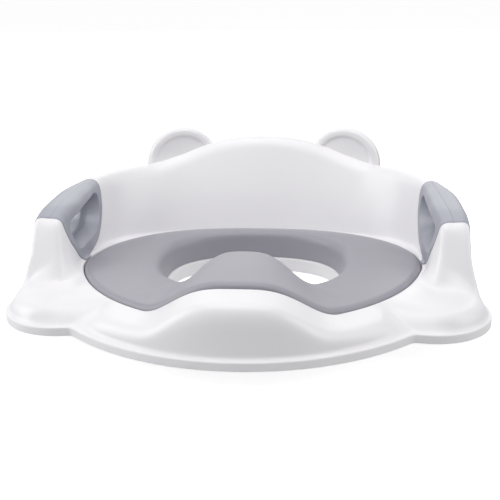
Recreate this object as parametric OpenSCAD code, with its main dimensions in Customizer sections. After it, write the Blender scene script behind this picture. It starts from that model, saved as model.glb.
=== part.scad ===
// Child's toilet training seat: one white moulded shell with a wrap-round back, two ears and
// two side openings, a soft grey cushion with a raised front, two split grips and four
// anti-slip pads. X runs to the side, Y to the rear, Z up. The skirt's lower edge is Z = 0.

/* [Rim] */
// Distance from the middle of the seat hole to the front edge of the rim
front_reach = 185; // [181:1:190]
// Distance from the middle of the seat hole to the rear edge of the rim
rear_reach = 173; // [168:1:180]
// Distance from the middle to the side edge of the rim, behind the corners
side_reach = 189; // [187:1:193]
// Radius of the rim's front arc
front_r = 178; // [174:1:184]
// Radius of each round front corner
corner_r = 48; // [46:0.5:50]
// Distance from the side edge of the rim to the centre of a front corner
corner_in = 44; // [42:0.5:46]
// Forward distance from the middle to the centre of a front corner
corner_y = 84; // [81:1:87]
// Height of the rim's upright edge
rim_h = 7; // [5:0.5:9]
// Width of the flat ledge on the front and rear of the rim
ledge_w = 5; // [4:0.5:8]
// Width of the flat ledge on the sides of the rim
ledge_side = 3.5; // [3:0.25:5]
// Height of the top of a front corner above the rim's lower edge
corner_h = 18; // [15:0.5:20]

/* [Shell] */
// Wall thickness of the moulded shell
wall = 2.6; // [2.2:0.1:3.2]
// Depth of the locating skirt below the rim
skirt_drop = 16; // [10:1:24]
// Height of the front lip beside the thighs
thigh_h = 21.5; // [19:0.5:24]
// Height of the front lip at its raised middle
hump_h = 48; // [42:1:54]
// Half width of the raised middle at the front lip
hump_half = 74; // [68:1:80]
// Half width of the raised middle at the seat hole
guard_half = 52; // [48:1:56]
// Height of the outer shoulder beside the thighs
shoulder_h = 14.5; // [13:0.5:16]
// Height of the outer shoulder at the raised middle
hump_shoulder_h = 41.5; // [38:0.5:44]
// Height of the backrest at its middle
back_h = 96.5; // [90:0.5:102]
// Height of the backrest beside the ears
back_side_h = 71; // [68:0.5:76]
// Height of the handle at its middle
handle_h = 72.5; // [71:0.5:76]
// Height of the post at the front end of the handle
post_h = 67.5; // [64:0.5:69]
// Width of a side wall at its foot, from the rim's edge to its inner face
side_w = 38.5; // [37:0.5:40]
// Width of the backrest's rounded top at its middle
top_w = 13; // [11:0.5:16]
// Height of the tray at the hole, against the rim's lower edge
tray_in_h = -3; // [-5:0.5:-1]
// Height of the tray at its outer edge
tray_out_h = 3; // [1:0.5:5]

/* [Ears] */
// Radius of an ear
ear_r = 36.5; // [32:0.5:40]
// Sideways distance from the middle to the centre of an ear
ear_x = 82; // [76:1:88]
// Height of an ear's centre above the rim's lower edge
ear_h = 68.5; // [64:0.5:72]
// Thickness of an ear
ear_t = 12; // [11:0.5:14]
// Width of an ear's raised border
ear_border = 7; // [4:0.5:9]
// Depth of the dish inside an ear's border
ear_dish = 1.6; // [0.8:0.1:2]

/* [Handles] */
// Height of the lowest point of a grip above the rim's lower edge
grip_low = 16; // [14:0.5:18]
// Distance behind the middle where a grip ends
grip_rear = 73; // [71:0.5:76]
// Distance in front of the middle where a grip ends
grip_front = 45; // [43:0.5:47]
// How far a grip stands proud of the shell
grip_proud = 0.5; // [0.3:0.1:1]
// Width of the ring of grip material round the finger hole
grip_ring = 11; // [9:0.5:13]
// Height of the top of the finger hole
finger_top = 64; // [61:0.5:65]
// Flare of the finger hole at each face
flare = 5; // [4:0.5:7]
// Radius of the shell's bar inside a grip
core_r = 3.5; // [3:0.25:4]

/* [Cushion] */
// Distance from the side edge of the rim to the cushion
seat_in = 42.5; // [42:0.5:45]
// Distance from the middle to the front edge of the cushion
cushion_front = 148; // [144:0.5:150]
// Distance from the middle to the rear edge of the cushion
cushion_rear = 108; // [104:1:112]
// Half width of the seat hole
hole_half_w = 80; // [74:1:84]
// Distance from the middle to the front edge of the seat hole
hole_front = 72; // [66:1:76]
// Distance from the middle to the rear edge of the seat hole
hole_rear = 68; // [64:1:74]
// Height of the cushion's top beside the hole
cushion_h = 21; // [19:0.5:24]
// Height of the splash guard's crest
guard_h = 52; // [46:1:58]
// How far the cushion stands above the front lip
cushion_proud = 3; // [2:0.5:4]
// Height of the cushion's rear edge
cushion_rear_h = 9; // [8:0.5:12]

/* [Pads] */
// Radius of an anti-slip pad
pad_r = 11; // [9:0.5:13]
// Thickness of an anti-slip pad
pad_t = 2.5; // [2:0.1:4]
// Distance from the middle to a pad's centre
pad_reach = 118; // [112:1:122]
// Angle of the front pads from the front
pad_front_a = 52; // [46:1:60]
// Angle of the rear pads from the front
pad_rear_a = 124; // [116:1:130]

/* [Fits] */
// Gap round the cushion and between the grips and the shell
gap = 0.3; // [0.2:0.05:0.6]

/* [Hidden] */

// Colours of the white moulding, the grips, the cushion and the pads
white = [0.96, 0.95, 0.96];
grip_grey = [0.60, 0.61, 0.67];
cushion_grey = [0.66, 0.65, 0.69];
pad_grey = [0.35, 0.36, 0.38];

// The seat stands on its skirt, with the frame's origin under the middle of its length
lift = skirt_drop;
shift = (front_reach - rear_reach) / 2;
eps = 0.01;

// Sideways places that follow the rim: the front corners, the walls' inner face and the cushion
corner_x = side_reach - corner_in;
face_x = side_reach - side_w;
cushion_r = side_reach - seat_in;

// Draft of the outer walls, and the lean of the post's front face
draft = 0.1;
ramp_foot = 72;
ramp_rise = 2;

// Angles from the front, closer together where the outline or the height turns quickly
half_turn = concat(
    [for (a = [0 : 4 : 40]) a], [for (a = [42 : 1.5 : 48]) a], [for (a = [50 : 3 : 62]) a],
    [for (a = [64 : 2 : 82]) a], [for (a = [87 : 6 : 177]) a], [180]
);
full_turn = concat(half_turn, [for (i = [len(half_turn) - 2 : -1 : 1]) -half_turn[i]]);
soft_turn = [for (a = [0 : 6 : 354]) a > 180 ? a - 360 : a];

// Smooth curve through [place, value] pairs, level at both ends
function rise(k, i) = (k[i + 1][1] - k[i][1]) / (k[i + 1][0] - k[i][0]);
function tilt(k, i) =
    i == 0 || i == len(k) - 1 ? 0
    : let (p = rise(k, i - 1), q = rise(k, i)) p * q <= 0 ? 0 : 2 * p * q / (p + q);
function span(k, x, i = 0) = i >= len(k) - 2 || x < k[i + 1][0] ? i : span(k, x, i + 1);
function ease(k, x) =
    let (
        i = span(k, x), h = k[i + 1][0] - k[i][0],
        t = min(max((x - k[i][0]) / h, 0), 1), s = t * t * (3 - 2 * t)
    )
    k[i][1] * (1 - s) + k[i + 1][1] * s
    + h * (t * (1 - t) * (1 - t) * tilt(k, i) - t * t * (1 - t) * tilt(k, i + 1));

// The larger and the smaller of two values, blended over a width w
function blend_max(a, b, w) = (a + b + sqrt((a - b) * (a - b) + w * w)) / 2;
function blend_min(a, b, w) = (a + b - sqrt((a - b) * (a - b) + w * w)) / 2;

// Reach from the middle, at angle a from the front, to a circle and to a squared oval
function circle_reach(a, x, y, r) =
    let (b = x * sin(a) + y * cos(a)) b + sqrt(max(b * b - x * x - y * y + r * r, 0));
function oval_reach(a, side, front, rear, n) =
    pow(pow(abs(sin(a)) / side, n) + pow(abs(cos(a)) / (a < 90 ? front : rear), n), -1 / n);

// Plan curves: the rim moved inwards by off, the cushion's edge and the hole
side_run = 135;
function rim(a, off = 0) =
    blend_max(
        blend_max(
            circle_reach(a, 0, front_reach - front_r, front_r - off),
            oval_reach(a, side_reach - off, side_run - off, rear_reach - off, a < 90 ? 4 : 2.6), 3
        ),
        circle_reach(a, corner_x, corner_y, corner_r - off), 3
    );
function cushion_edge(a) =
    oval_reach(a, cushion_r, cushion_front, cushion_rear, a < 90 ? 2 : 3);
function hole_edge(a) = oval_reach(a, hole_half_w, hole_front, hole_rear, 2.5);

// The raised middle in front, by angle and reach: 1 at the middle line, falling to 0 at its
// half width, which grows from the hole to the lip
function hump_width(r) =
    guard_half + (hump_half - guard_half)
    * min(max((r - hole_front) / (cushion_front - hole_front), 0), 1);
function bell(x) = x < 1 ? (1 + cos(180 * pow(x, 1.55))) / 2 : 0;
function hump(a, r) = a < 90 ? bell(r * sin(a) / hump_width(r)) : 0;

// Height of the post, handle and backrest along their top
function crest(a) = ease([
    [60, post_h], [74, post_h], [84, post_h + 3], [92, handle_h - 2.5], [104, handle_h],
    [118, back_side_h + 0.5], [140, back_side_h], [150, back_side_h + 5.5],
    [158, back_h - 7.5], [165, back_h - 3.5], [172, back_h - 1], [180, back_h]
], a);
// The level of a shoulder that is low in front and climbs the post
function climb(a, r, low) =
    blend_max(
        low, blend_min(crest(a), corner_h + (ramp_foot - r * cos(a)) * ramp_rise, 5), 1.5
    );
function low_out(a) = ease([
    [0, shoulder_h], [46, shoulder_h - 2.5], [53, corner_h], [180, corner_h]
], a) + (hump_shoulder_h - shoulder_h) * hump(a, front_reach - ledge_w);
function low_in(a) = thigh_h + (hump_h - thigh_h) * hump(a, cushion_front);

// Reach of the inner edge of the top
back_in = rear_reach - ledge_w - top_w;
function shoulder_in(a) = ease([
    [0, face_x + 16.5], [66, face_x + 16.5], [76, face_x + 11], [80, face_x + 7.5],
    [90, face_x + 2.5], [100, face_x + 4.5], [110, face_x + 12], [118, face_x + 19],
    [128, face_x + 19.5], [140, back_in + 12], [152, back_in + 6], [165, back_in - 3],
    [180, back_in - 8]
], a);
// Reach of the inner face's foot: upright beside the seat, leaning back behind it
function foot(a) = ease([
    [0, face_x + 9], [62, face_x + 9], [68, face_x + 3], [76, face_x + 0.5], [83, face_x],
    [90, face_x], [98, face_x + 1], [106, face_x + 4.5], [114, face_x + 9],
    [122, face_x + 7.5], [132, face_x - 1], [145, cushion_rear + 27.5],
    [160, cushion_rear + 14.5], [180, cushion_rear + 9]
], a);
// How far the outer shoulder is set in from the foot of the outer face
function lean(a) = ease([
    [0, 1], [20, 1.5], [30, 2.5], [38, 5], [45, 14], [49, 13], [54, 5], [60, 1], [66, 0],
    [98, 0], [112, 1.5], [125, 0], [180, 0]
], a);
// Width of the flat ledge
function ledge(a) = ease([
    [0, ledge_w], [34, ledge_w], [56, ledge_side], [120, ledge_side], [150, ledge_w], [180, ledge_w]
], a);
// Level of the cushion's edge beside and behind the hole
function soft_edge(a) = let (high = thigh_h + cushion_proud, rear = cushion_rear_h) ease([
    [0, 60], [40, 40], [70, high], [85, high - 3], [100, high - 7], [120, rear + 4],
    [150, rear + 1], [180, rear]
], a);
// Rounding of the top's edges, and of the hollow where the inner face meets the lip
function top_round(a) = ease([[0, 9], [66, 6], [78, 7], [95, 12], [180, 12]], a);
function lip_round(a) = ease([[0, 18], [70, 18], [84, 10], [110, 3], [180, 3]], a);

// Tray height under the cushion, raised under the splash guard
function tray(a, r, z) = z + (guard_h - cushion_h - 6) * hump(a, r);

// 0 below low, 1 above high and a smooth change between
function soft_step(x, low, high) =
    let (t = min(max((x - low) / (high - low), 0), 1)) t * t * (3 - 2 * t);
function mix(p, q, t) = p * (1 - t) + q * t;

// Control corners of the shell's visible section at angle a, from the skirt's lower edge to
// the rim's lower edge: [reach, height, rounding, points]
function shell_corners(a) =
    let (
        hole = hole_edge(a) - 3, edge = cushion_edge(a) + gap, low = low_in(a),
        base = rim(a, ledge(a)),
        r_out = base - lean(a) - draft * (climb(a, base - 5, low_out(a)) - rim_h),
        z_out = climb(a, r_out, low_out(a)),
        r_wall = max(shoulder_in(a), edge + 1), z_wall = climb(a, r_wall, low),
        w = soft_step(z_wall, 20, 40), front = 1 - soft_step(a, 53, 65),
        z_foot = soft_edge(a) + ease([[0, 0], [65, -4], [90, -2], [180, -2]], a),
        r_lip = mix(max(foot(a), edge + 0.6), mix(edge, r_out, 0.25), front),
        z_lip = mix(z_foot, mix(low, z_out, 0.25), front),
        r_in = mix(r_wall, mix(edge, r_out, 0.5), front),
        z_in = mix(z_wall, mix(low, z_out, 0.5), front)
    )
    [
        [hole, -skirt_drop, 0, 1],
        [hole, tray(a, hole, tray_in_h), 0, 1],
        [edge, tray(a, edge, tray_out_h), 0, 1],
        [edge, min(low, soft_edge(a) - 1.5), 0, 1],
        [r_lip, z_lip, mix(lip_round(a), 1, front), 2],
        [r_in, z_in, mix(1, top_round(a), w), 4],
        [r_out, z_out, mix(7, top_round(a), w) + 7 * hump(a, base), 4],
        [base, rim_h, 3, 2],
        [rim(a), rim_h, 1.5, 2],
        [rim(a), 0, 0, 1]
    ];

// Points round one corner of a path, on a curve that touches both of its sides
function toward(p, q) =
    let (v = [q[0] - p[0], q[1] - p[1]], l = norm(v), d = p[2] + q[2])
    [p[0], p[1]] + v * (d > l ? p[2] / d : p[2] / l);
function round_corner(c, i) =
    let (v = [c[i][0], c[i][1]], n = c[i][3] - 1)
    n == 0 ? [v]
    : let (p = toward(c[i], c[i - 1]), q = toward(c[i], c[i + 1]))
    [for (j = [0 : n]) let (t = j / n) p * (1 - t) * (1 - t) + v * 2 * t * (1 - t) + q * t * t];
function round_path(c) = [for (i = [0 : len(c) - 1]) each round_corner(c, i)];
function round_loop(c) =
    let (n = len(c), d = concat([c[n - 1]], c, [c[0]]))
    [for (i = [1 : n]) each round_corner(d, i)];

// The same corners moved into the material by t
function inward(p, q) = let (v = [q[0] - p[0], q[1] - p[1]]) [v[1], -v[0]] / norm(v);
function moved_corner(c, i, t, points) =
    let (m = inward(c[i - 1], c[i]), n = inward(c[i], c[i + 1]), v = (m + n) / (1 + m * n))
    [c[i][0] + t * v[0], c[i][1] + t * v[1], max(c[i][2] - t, 0.8), points[i]];

// Closed section of the filled shell grown by a margin, and of the hollow under it
function solid_section(a, margin = 0) =
    let (c = shell_corners(a), n = len(c) - 1, foot = c[0][0] + wall)
    concat(
        round_path(concat(
            [c[0]], [for (i = [1 : n - 1]) moved_corner(c, i, -margin, [for (q = c) q[3]])], [c[n]]
        )),
        [[foot, tray_in_h - wall - 3], [foot, -skirt_drop]]
    );
hollow_points = [1, 1, 1, 1, 1, 2, 3, 1, 1, 1];
function hollow_section(a) =
    let (c = shell_corners(a), n = len(c) - 1, foot = c[0][0] + wall)
    round_path(concat(
        [[foot, tray_in_h - wall - 4, 0, 1]],
        [for (i = [1 : n - 1]) moved_corner(c, i, wall, hollow_points)],
        [[c[n][0] - wall, -1, 0, 1]]
    ));

// Section of the cushion at angle a, closed along the tray
function cushion_corners(a) =
    let (
        hole = hole_edge(a), edge = cushion_edge(a) - gap, base = hole - 2.5,
        up = hump(a, hole), rear = ease([[0, 0], [95, 0], [180, 1]], a),
        z_hole = cushion_h - 1 + (guard_h - cushion_h + 1) * up,
        z_edge = min(low_in(a) + cushion_proud, soft_edge(a)),
        mid = hole + 14 + (edge - hole) * (0.28 - 0.2 * rear),
        z_mid = cushion_h + 1.5 + (guard_h - cushion_h - 1) * hump(a, mid)
    )
    [
        [base, tray(a, base, tray_in_h) + gap, 0, 1],
        [hole, z_hole, 9 - 3 * rear, 5],
        [mid, z_mid, 26, 4],
        [edge, z_edge, 6, 5],
        [edge, tray(a, edge, tray_out_h) + gap + 1, 0, 1],
        [edge - 1, tray(a, edge, tray_out_h) + gap, 0, 1]
    ];
function cushion_section(a) = round_path(cushion_corners(a));

// Carries sections round the middle and closes them to a ring
function place(p, a) = [p[0] * sin(a), -p[0] * cos(a), p[1]];
module ring(turn, sections) {
    n = len(turn);
    m = len(sections[0]);
    polyhedron(
        points = [for (i = [0 : n - 1]) each [for (p = sections[i]) place(p, turn[i])]],
        faces = [
            for (i = [0 : n - 1], j = [0 : m - 1])
            let (
                i2 = (i + 1) % n, j2 = (j + 1) % m,
                p = i * m + j, q = i * m + j2, r = i2 * m + j2, s = i2 * m + j
            )
            each [[p, r, q], [p, s, r]]
        ],
        convexity = 6
    );
}
module filled_shell(margin = 0) {
    ring(full_turn, [for (a = full_turn) solid_section(abs(a), margin)]);
}
module hollow() {
    ring(full_turn, [for (a = full_turn) hollow_section(abs(a))]);
}

// Side outline of a grip and of its finger hole, as [rearward, height] seen from the side
top_cut = 140;
function grip_outline() = round_loop([
    [grip_rear, top_cut, 0, 1], [grip_rear - 2, 50, 20, 4],
    [grip_rear - 21, grip_low, 30, 6], [18 - grip_front + 15, grip_low, 18, 5],
    [3 - grip_front, 50, 14, 4], [-1 - grip_front, top_cut, 0, 1]
]);
function finger_outline() = round_loop([
    [grip_rear - grip_ring - 3, finger_top, 12, 3],
    [grip_rear - grip_ring - 7, grip_low + grip_ring, 18, 4],
    [grip_ring + 13 - grip_front, grip_low + grip_ring, 12, 3],
    [grip_ring + 1 - grip_front, finger_top - 8, 8, 3],
    [grip_ring + 6 - grip_front, finger_top - 4, 0, 1]
]);

// Upright prism of a grip's side outline, through one side wall, grown by a margin
side_in = face_x - 22;
side_out = side_reach + 11;
module through_side(side) {
    translate([side * side_in, 0, 0]) mirror([side < 0 ? 1 : 0, 0, 0])
        rotate([90, 0, 90]) linear_extrude(side_out - side_in) children();
}
module grip_block(side, margin) {
    through_side(side) offset(delta = margin) polygon(grip_outline());
}

// Finger hole with a flare at each face, as slices joined two by two
bar_mid = side_reach - 23;
half_depth = 15;
flare_steps = 3;
module finger_slice(x, in) {
    translate([x, 0, 0]) rotate([90, 0, 90]) linear_extrude(eps)
        offset(delta = -in) polygon(finger_outline());
}
function flare_in(k) = flare * (1 - pow(abs(k) / flare_steps, 2.5));
module finger_hole(side) {
    mirror([side < 0 ? 1 : 0, 0, 0]) {
        for (k = [-flare_steps : flare_steps - 1])
            hull() {
                finger_slice(bar_mid + k * half_depth / flare_steps, flare_in(k));
                finger_slice(bar_mid + (k + 1) * half_depth / flare_steps, flare_in(k + 1));
            }
        for (s = [-1, 1])
            hull() {
                finger_slice(bar_mid + s * half_depth, 0);
                finger_slice(bar_mid + s * (half_depth + 18), -4);
            }
    }
}

// The plane that splits a grip, and the shell's own bar that runs along it, a little further
// out, from the backrest to the post in two straight runs
split_x = bar_mid - 2;
split_turn = 3;
bar_out = 1;
bar_rear_drop = 8;
bar_bend = 4;
bar_end_drop = 17;
function bar_x(y) = split_x + bar_out - y * tan(split_turn);
module bar_end(y, z, r) {
    translate([bar_x(y), y, z]) rotate([90, 0, 0]) cylinder(r = r, h = eps, $fn = 16);
}
module core_bar(side, r) {
    mirror([side < 0 ? 1 : 0, 0, 0]) {
        hull() {
            bar_end(grip_rear + 3, handle_h - bar_rear_drop, r);
            bar_end(14 - grip_front, finger_top - bar_bend, r);
        }
        hull() {
            bar_end(14 - grip_front, finger_top - bar_bend, r);
            bar_end(-2 - grip_front, finger_top - bar_end_drop, r);
        }
    }
}

// Ear: a round-edged disc with a dished face, leaning with the backrest
ear_lean = 6;
ear_turn = 13;
ear_round = 3;
module ear_place(side) {
    a = 180 - atan(ear_x / (back_in - 4));
    reach = (shoulder_in(a) + 10) * -cos(a);
    translate([side * ear_x, reach, ear_h]) rotate([90 - ear_lean, 0, -side * ear_turn]) children();
}
module ear_disc(r, t, edge) {
    hull() {
        cylinder(r = r, h = t - 2 * edge, center = true, $fn = 48);
        cylinder(r = r - edge * 0.3, h = t - edge * 0.6, center = true, $fn = 48);
        cylinder(r = r - edge, h = t, center = true, $fn = 48);
    }
}
module ear_dish_cut() {
    translate([0, 0, ear_t / 2]) hull() {
        cylinder(r = ear_r - ear_border, h = 2 * eps, center = true, $fn = 48);
        cylinder(r = ear_r - ear_border - 1.5, h = 2 * ear_dish, center = true, $fn = 48);
    }
}
module ear_core() {
    translate([0, 0, -ear_dish / 2]) ear_disc(ear_r - wall, ear_t - ear_dish - 2 * wall, 1);
}

// Pad seats: round bosses that reach down from the tray to one level, each with a recess
recess = 1;
boss_t = 2;
boss_h = (tray_in_h + tray_out_h) / 2 - wall - boss_t;
module at_pads() {
    for (a = [pad_front_a, pad_rear_a], s = [-1, 1])
        translate([s * pad_reach * sin(a), -pad_reach * cos(a), 0]) children();
}
function tray_block_section(a) =
    let (in = hole_edge(a) - 2, out = cushion_edge(a), low = boss_h - wall)
    [
        [in, low], [in, tray(a, in, tray_in_h) - wall / 2],
        [out, tray(a, out, tray_out_h) - wall / 2], [out, low]
    ];
module pad_bosses() {
    intersection() {
        ring(soft_turn, [for (a = soft_turn) tray_block_section(abs(a))]);
        at_pads() translate([0, 0, boss_h]) cylinder(r = pad_r + 2, h = rim_h - boss_h, $fn = 32);
    }
}
module anti_slip_pad(side, a) {
    translate([side * pad_reach * sin(a), -pad_reach * cos(a) + shift, lift + boss_h + recess])
        color(pad_grey) mirror([0, 0, 1]) rotate_extrude($fn = 48)
            polygon([[0, 0], [pad_r, 0], [pad_r, pad_t - 0.6], [pad_r - 0.6, pad_t], [0, pad_t]]);
}

module seat_shell() {
    color(white) translate([0, shift, lift]) {
        difference() {
            union() {
                filled_shell();
                for (s = [-1, 1]) ear_place(s) ear_disc(ear_r, ear_t, ear_round);
            }
            difference() {
                hollow();
                for (s = [-1, 1]) grip_block(s, gap + wall);
                pad_bosses();
            }
            at_pads() translate([0, 0, boss_h - 1]) cylinder(r = pad_r + gap, h = 1 + recess, $fn = 32);
            for (s = [-1, 1]) {
                ear_place(s) ear_dish_cut();
                ear_place(s) ear_core();
                grip_block(s, gap);
            }
        }
        for (s = [-1, 1]) core_bar(s, core_r);
    }
}

module seat_cushion() {
    color(cushion_grey) translate([0, shift, lift])
        ring(soft_turn, [for (a = soft_turn) cushion_section(abs(a))]);
}

// One half of a grip, cut off at the split plane; inner faces the child
module grip_half(side, inner) {
    color(grip_grey) translate([0, shift, lift]) difference() {
        intersection() {
            filled_shell(grip_proud);
            grip_block(side, 0);
            mirror([side < 0 ? 1 : 0, 0, 0]) translate([split_x, 0, 0]) rotate([0, 0, split_turn])
                translate([inner ? -side_w * 2 : 0, -rear_reach, 0])
                cube([side_w * 2, 2 * rear_reach, top_cut]);
        }
        finger_hole(side);
        core_bar(side, core_r + gap);
    }
}
module left_grip_inner() grip_half(-1, true);
module left_grip_outer() grip_half(-1, false);
module right_grip_inner() grip_half(1, true);
module right_grip_outer() grip_half(1, false);

module front_left_pad() anti_slip_pad(-1, pad_front_a);
module front_right_pad() anti_slip_pad(1, pad_front_a);
module rear_left_pad() anti_slip_pad(-1, pad_rear_a);
module rear_right_pad() anti_slip_pad(1, pad_rear_a);

seat_shell();
seat_cushion();
left_grip_inner();
left_grip_outer();
right_grip_inner();
right_grip_outer();
front_left_pad();
front_right_pad();
rear_left_pad();
rear_right_pad();
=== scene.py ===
"""Potty training seat: the finished look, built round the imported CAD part.

All forms are worked out in millimetres round the middle of the seat hole, with the rim's lower
edge at height 0, and are carried into the shared frame in metres when a mesh is made.
"""

import logging
import math
from collections.abc import Sequence
from dataclasses import dataclass
from enum import Enum
from typing import ClassVar

import bpy
import numpy as np
from mathutils import Matrix, Vector


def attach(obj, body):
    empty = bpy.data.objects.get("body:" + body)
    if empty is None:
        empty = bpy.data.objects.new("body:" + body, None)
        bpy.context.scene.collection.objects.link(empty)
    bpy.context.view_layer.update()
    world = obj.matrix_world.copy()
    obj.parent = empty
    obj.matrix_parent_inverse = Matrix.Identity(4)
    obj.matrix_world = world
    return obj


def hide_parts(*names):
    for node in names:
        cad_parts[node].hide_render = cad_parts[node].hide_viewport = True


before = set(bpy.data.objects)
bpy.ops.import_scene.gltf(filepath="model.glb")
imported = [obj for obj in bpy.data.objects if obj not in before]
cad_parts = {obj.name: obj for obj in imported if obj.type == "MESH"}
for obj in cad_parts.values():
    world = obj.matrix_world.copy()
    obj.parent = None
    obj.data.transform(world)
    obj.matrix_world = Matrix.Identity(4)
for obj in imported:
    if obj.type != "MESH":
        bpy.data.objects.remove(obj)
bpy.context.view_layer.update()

log = logging.getLogger("training_seat")
MM = 0.001


class Side(Enum):
    """Side of the seat, by the sign of X."""

    LEFT = -1
    RIGHT = 1


class Half(Enum):
    """Half of a grip: the inner one faces the child."""

    INNER = "inner"
    OUTER = "outer"


Key = list[list[float]]


def ease(keys: Key, x: np.ndarray) -> np.ndarray:
    """Smooth curve through pairs of place and value, level at both ends and at each turn.

    Each span is a cubic whose end slopes are the harmonic mean of the two chord slopes.

    Args:
        keys: pairs [place, value] in rising order of place.
        x: places to read.

    Returns:
        The values at x.
    """
    k = np.asarray(keys, float)
    step = np.diff(k[:, 0])
    chord = np.diff(k[:, 1]) / step
    slope = np.zeros(len(k))
    product = chord[:-1] * chord[1:]
    total = np.where(product > 0, chord[:-1] + chord[1:], 1.0)
    slope[1:-1] = np.where(product > 0, 2 * product / total, 0.0)
    i = np.clip(np.searchsorted(k[:, 0], x, side="right") - 1, 0, len(step) - 1)
    t = np.clip((x - k[i, 0]) / step[i], 0, 1)
    s = t * t * (3 - 2 * t)
    bend = step[i] * (t * (1 - t) ** 2 * slope[i] - t * t * (1 - t) * slope[i + 1])
    return k[i, 1] * (1 - s) + k[i + 1, 1] * s + bend


def blend_max(a: np.ndarray, b: np.ndarray, width: float) -> np.ndarray:
    """The larger of a and b, blended: half of a + b + sqrt((a - b)^2 + width^2).

    Args:
        a: first values.
        b: second values.
        width: range of differences over which the two are blended.

    Returns:
        The blended values.
    """
    return (a + b + np.sqrt((a - b) ** 2 + width * width)) / 2


def blend_min(a: np.ndarray, b: np.ndarray, width: float) -> np.ndarray:
    """The smaller of a and b, blended: half of a + b - sqrt((a - b)^2 + width^2).

    Args:
        a: first values.
        b: second values.
        width: range of differences over which the two are blended.

    Returns:
        The blended values.
    """
    return (a + b - np.sqrt((a - b) ** 2 + width * width)) / 2


def circle_reach(a: np.ndarray, x: float, y: float, r: float) -> np.ndarray:
    """Reach from the middle to the far side of a circle.

    Args:
        a: angles from the front in radians.
        x: the circle's centre to the side.
        y: the circle's centre towards the front.
        r: the circle's radius.

    Returns:
        The distances: the centre's share along each angle plus half the chord.
    """
    along = x * np.sin(a) + y * np.cos(a)
    return along + np.sqrt(np.maximum(along**2 - x * x - y * y + r * r, 0))


def oval_reach(a: np.ndarray, side: float, front: float, rear: float, n: float) -> np.ndarray:
    """Reach from the middle to a squared oval: (|sin/side|^n + |cos/ahead|^n)^(-1/n).

    Args:
        a: angles from the front in radians.
        side: half width.
        front: reach to the front.
        rear: reach to the rear.
        n: power, 2 for an ellipse and more for a squarer form.

    Returns:
        The distances at a.
    """
    ahead = np.where(np.cos(a) > 0, front, rear)
    total = np.abs(np.sin(a) / side) ** n + np.abs(np.cos(a) / ahead) ** n
    return total ** (-1 / n)


def soft_step(x: np.ndarray, low: float, high: float) -> np.ndarray:
    """Smooth step: 0 below low, 1 above high, and the cubic 3 t^2 - 2 t^3 between.

    Args:
        x: values to read.
        low: where the step starts.
        high: where it ends.

    Returns:
        The step's values, 0 to 1.
    """
    t = np.clip((x - low) / (high - low), 0, 1)
    return t * t * (3 - 2 * t)


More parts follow.
